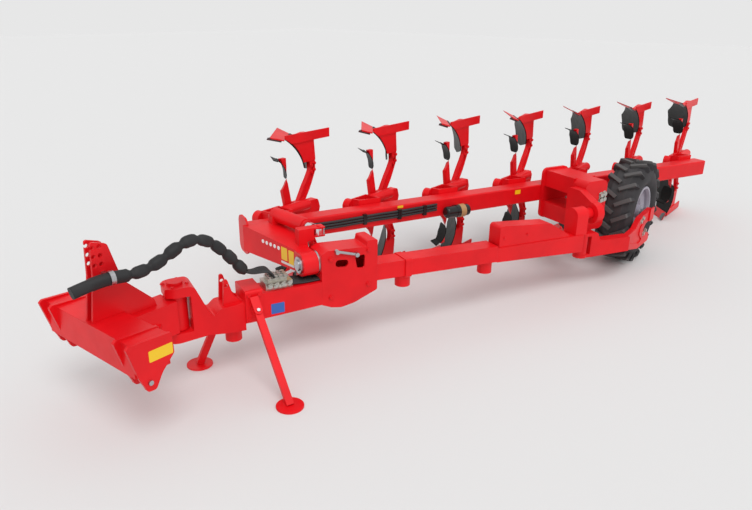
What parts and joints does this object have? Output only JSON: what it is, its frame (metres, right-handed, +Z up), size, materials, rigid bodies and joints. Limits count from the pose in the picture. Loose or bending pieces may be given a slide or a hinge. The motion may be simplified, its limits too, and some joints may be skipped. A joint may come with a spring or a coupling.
{
  "type": "moldboard plough",
  "caption": "Semi-mounted reversible moldboard plough: headstock, drawbar with turning axle, trolley beam, slanting beam with mirrored bodies and a steered support wheel.",
  "frame": {"origin": "on the ground, under the middle of the bounding box", "axes": "+X towards the tractor (travel), +Y to the left of travel, +Z up"},
  "size_m": [9.145, 3.2853, 1.74],
  "materials": {
    "paint_red": "gloss",
    "board_steel": "satin",
    "worn_steel": "rough",
    "pin_steel": "satin",
    "chrome_rod": "polished",
    "zinc_block": "satin",
    "black_paint": "gloss",
    "tyre": "matte",
    "rim_paint": "satin",
    "sleeve_fabric": "woven",
    "hose_rubber": "matte"
  },
  "bodies": {
    "chassis": {"drawbar_nose": "paint_red", "king_pin": "paint_red", "drawbar": "paint_red", "turn_housing": "paint_red", "turn_axle": "pin_steel", "housing_link": "pin_steel", "trolley_beam": "paint_red", "trolley_rear_beam": "paint_red", "rear_bearing": "paint_red", "cylinder_cover": "paint_red", "hydraulic_block": "zinc_block", "stand_ears": "paint_red", "stand_pins": "pin_steel"},
    "headstock": {"headstock_frame": "paint_red", "mast": "paint_red", "hitch_pins": "pin_steel", "hose_sleeve": "sleeve_fabric", "sleeve_strap": "pin_steel"},
    "frame": {"frame_beam": "paint_red", "beam_end_plates": "paint_red", "turn_head": "paint_red", "head_cylinders": "paint_red", "cylinder_rods": "chrome_rod", "accumulator": "black_paint", "yoke_arms": "paint_red", "yoke_box": "paint_red", "legs": "paint_red", "frogs": "paint_red", "landsides": "paint_red", "shares": "paint_red", "share_points": "worn_steel", "mouldboards": "board_steel", "skimmer_shanks": "paint_red", "skimmer_shares": "board_steel", "skimmer_boards": "board_steel", "trip_cylinders": "paint_red", "station_carriers": "paint_red", "beam_hoses": "hose_rubber", "hose_clamps": "black_paint"},
    "wheel_arm": {"wheel_arm": "paint_red", "steering_pin": "pin_steel", "wheel_axle": "pin_steel", "hub_bracket": "paint_red"},
    "wheel": {"tyre": "tyre", "rim": "rim_paint", "wheel_hub": "rim_paint"},
    "near_stand": {"near_stand": "paint_red"},
    "far_stand": {"far_stand": "paint_red"}
  },
  "joints": [
    {"name": "headstock_yaw", "type": "hinge", "parent": "chassis", "child": "headstock", "pos_m": [3.68803, -0.57724, 0.66], "axis": [0, 0, 1], "range_deg": [-93.5, 46.5]},
    {"name": "turnover", "type": "hinge", "parent": "chassis", "child": "frame", "pos_m": [2.59306, -0.10113, 0.87], "axis": [-0.9171, 0.3987, 0], "range_deg": [0, 180]},
    {"name": "wheel_steer", "type": "hinge", "parent": "chassis", "child": "wheel_arm", "pos_m": [-0.35988, 1.18284, 0.515], "axis": [0, 0, -1], "range_deg": [0, 42]},
    {"name": "wheel_spin", "type": "hinge", "parent": "wheel_arm", "child": "wheel", "pos_m": [-1.67406, 1.25585, 0.6285], "axis": [0, 1, 0], "continuous": true},
    {"name": "near_stand_fold", "type": "hinge", "parent": "chassis", "child": "near_stand", "pos_m": [3.22444, -0.14122, 0.62], "axis": [0.3004, 0.6909, 0.6576], "range_deg": [0, 60]},
    {"name": "far_stand_fold", "type": "hinge", "parent": "chassis", "child": "far_stand", "pos_m": [3.22527, -0.58321, 0.54], "axis": [0.3979, 0.9152, -0.0645], "range_deg": [0, 75]}
  ]
}
